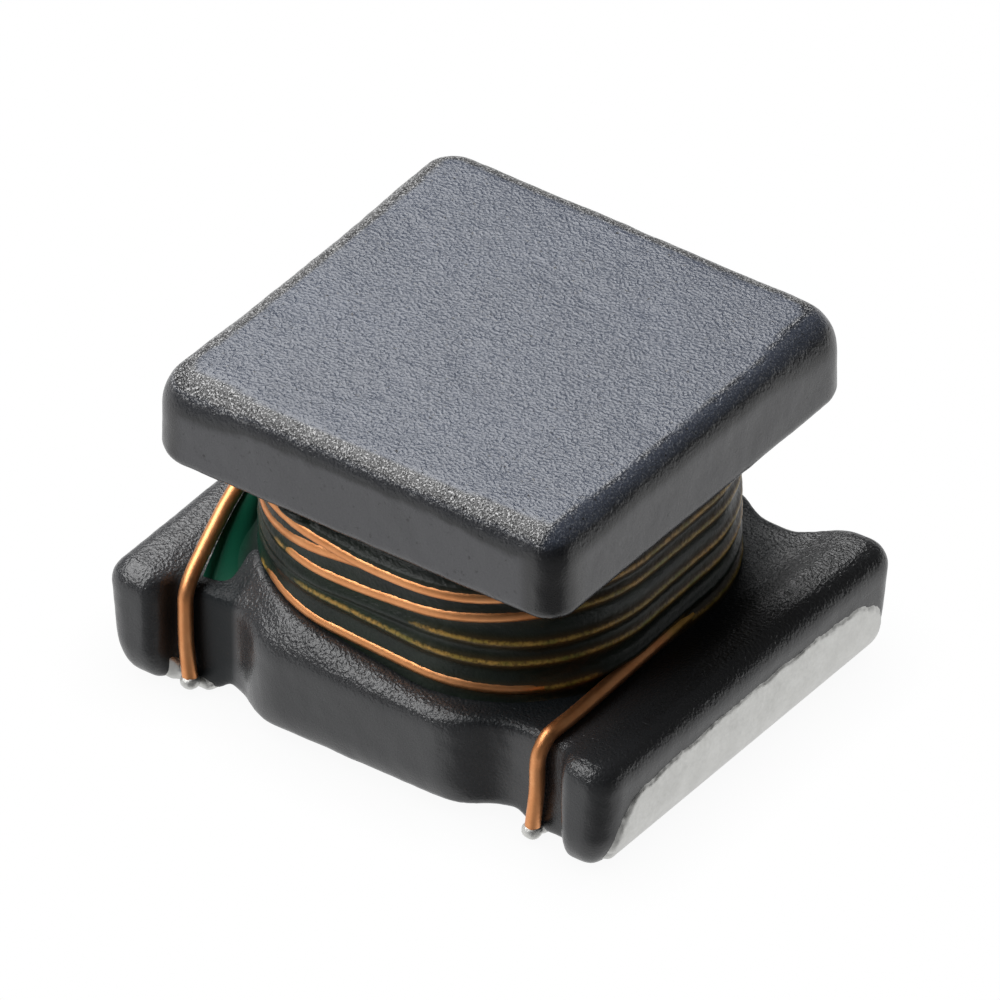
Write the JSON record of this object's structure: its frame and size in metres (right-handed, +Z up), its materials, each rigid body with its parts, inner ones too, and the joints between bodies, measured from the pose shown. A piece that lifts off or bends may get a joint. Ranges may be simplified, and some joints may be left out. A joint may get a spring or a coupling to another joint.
{
  "type": "wire-wound chip inductor",
  "caption": "Small open wire-wound chip inductor: square ferrite plate over a copper winding on a notched base flange with soldered end terminals.",
  "frame": {"origin": "middle of the footprint, on the solder plane under the terminals", "axes": "+X from the left terminal to the right terminal, +Y away from the side where both leads come down, +Z up through the square top plate"},
  "size_m": [0.003, 0.0024, 0.002],
  "materials": {
    "ferrite": "tumbled, fine pebbled grain",
    "terminal_metal": "satin tin-plated layer",
    "copper_wire": "enamelled copper, glossy",
    "solder": "bright solder",
    "varnish": "glossy green coil varnish"
  },
  "bodies": {
    "root": {"core": "ferrite", "terminal_left": "terminal_metal", "terminal_right": "terminal_metal", "winding": "copper_wire", "solder_left": "solder", "solder_right": "solder", "varnish": "varnish"}
  },
  "joints": []
}
